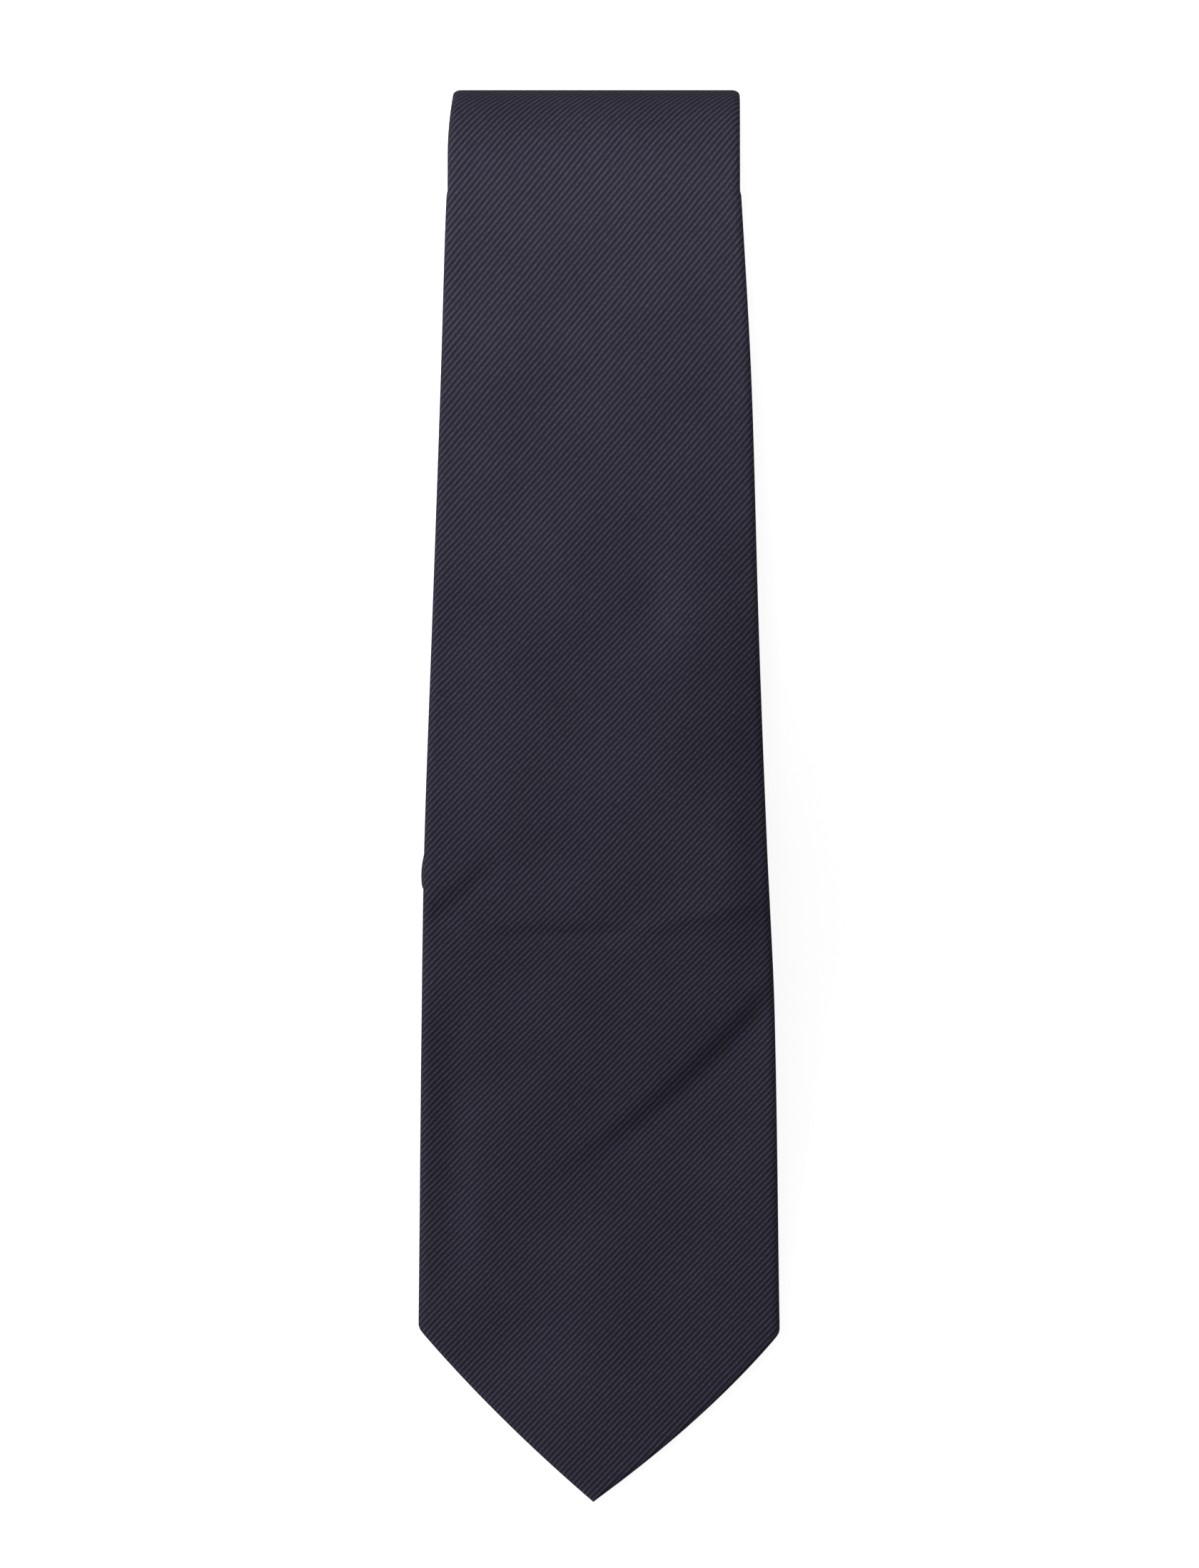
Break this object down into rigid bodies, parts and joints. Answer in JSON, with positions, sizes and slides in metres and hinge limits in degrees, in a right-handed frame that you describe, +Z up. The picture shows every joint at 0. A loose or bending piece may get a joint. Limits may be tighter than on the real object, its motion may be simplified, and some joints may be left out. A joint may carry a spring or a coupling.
{
  "type": "necktie",
  "caption": "Dark navy ribbed silk necktie, doubled at the neck and rolled behind its pointed wide blade, lying flat with the blade's front up.",
  "frame": {"origin": "on the table, under the middle of the rolled tie's bounding box", "axes": "+X across the tie, +Y from the wide tip to the top fold, +Z up from the table"},
  "size_m": [0.08, 0.3116, 0.027],
  "materials": {
    "silk": "ribbed twill silk, dark navy, soft sheen",
    "interlining": "brushed wool interlining, off-white",
    "tipping": "smooth satin lining, dark navy",
    "label": "plain woven label, blank",
    "thread": "twisted silk thread, dark navy"
  },
  "bodies": {
    "bundle": {"blade_silk_wrap": "silk", "neck_silk": "silk", "tail_silk_wrap": "silk", "interlining_blade_wrap": "interlining", "interlining_neck": "interlining", "interlining_tail_wrap": "interlining"},
    "front_blade": {"blade_silk_front": "silk", "interlining_front": "interlining", "tail_silk_end": "silk", "interlining_tail_end": "interlining", "tail_tipping": "tipping", "tail_bar_tack": "thread", "keeper_loop": "silk", "slip_stitch_thread": "thread"},
    "blade_end": {"blade_silk_end": "silk", "interlining_blade_end": "interlining", "blade_tipping": "tipping", "blank_label": "label", "blade_bar_tack": "thread"}
  },
  "joints": [
    {"name": "front_blade_lift", "type": "hinge", "parent": "bundle", "child": "front_blade", "pos_m": [-0.001, 0.1297, 0.027], "axis": [-1, 0, 0], "range_deg": [0, 120]},
    {"name": "blade_end_bend", "type": "hinge", "parent": "front_blade", "child": "blade_end", "pos_m": [0, -0.022, 0.027], "axis": [-1, 0, 0], "range_deg": [0, 100]}
  ]
}
